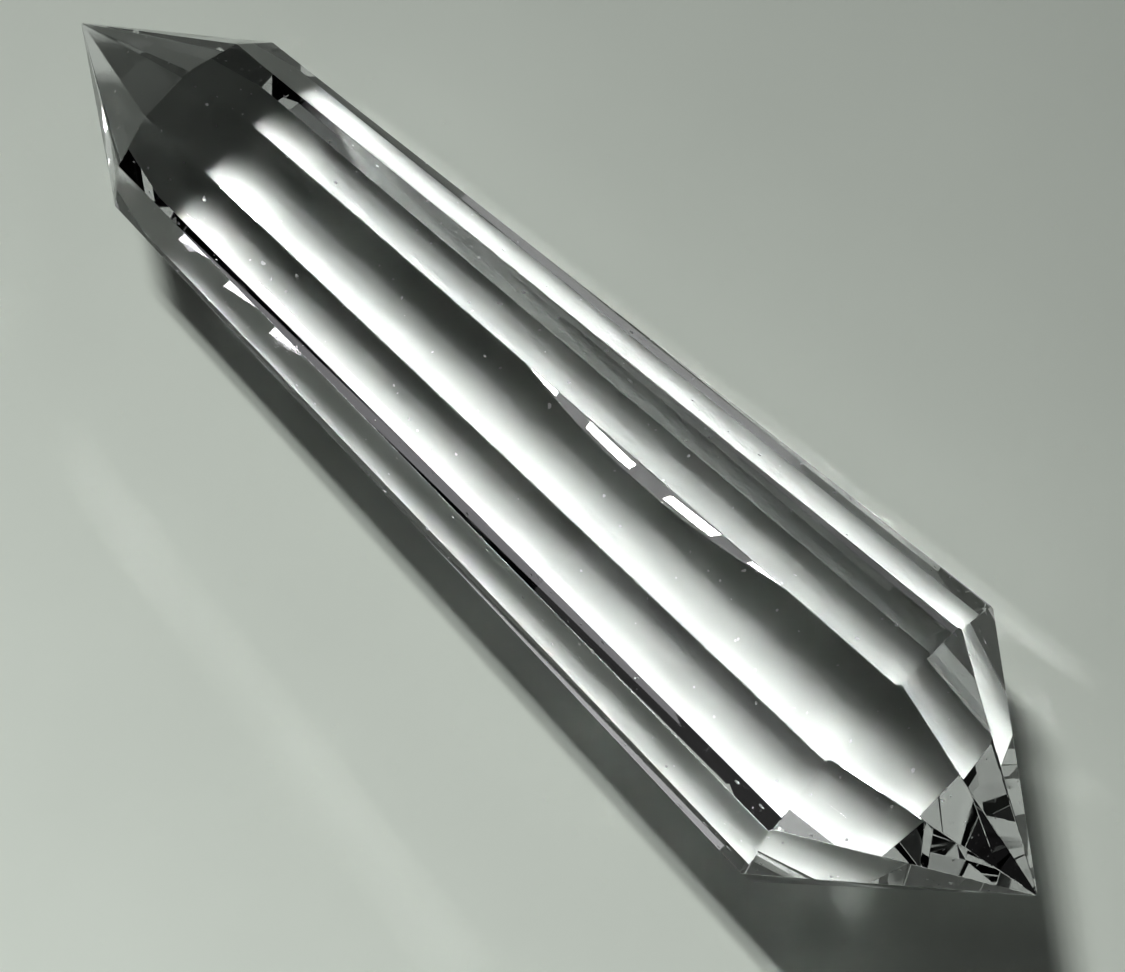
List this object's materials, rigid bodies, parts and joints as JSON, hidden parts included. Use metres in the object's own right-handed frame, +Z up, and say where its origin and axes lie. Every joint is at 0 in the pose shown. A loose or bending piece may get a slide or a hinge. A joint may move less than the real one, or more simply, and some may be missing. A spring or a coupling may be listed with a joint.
{
  "type": "quartz crystal wand",
  "caption": "Clear faceted crystal wand, tapered along its length, with a wide and a narrow pyramid point, resting on one long facet.",
  "frame": {"origin": "under the middle of the wand's bounding box, on the plane it rests on", "axes": "+X towards the wide point, +Y across the wand, +Z up from the surface it rests on"},
  "size_m": [0.1136, 0.029, 0.0289],
  "materials": {
    "clear_quartz": "polished, clear and colourless"
  },
  "bodies": {
    "root": {"quartz_wand": "clear_quartz"}
  },
  "joints": []
}
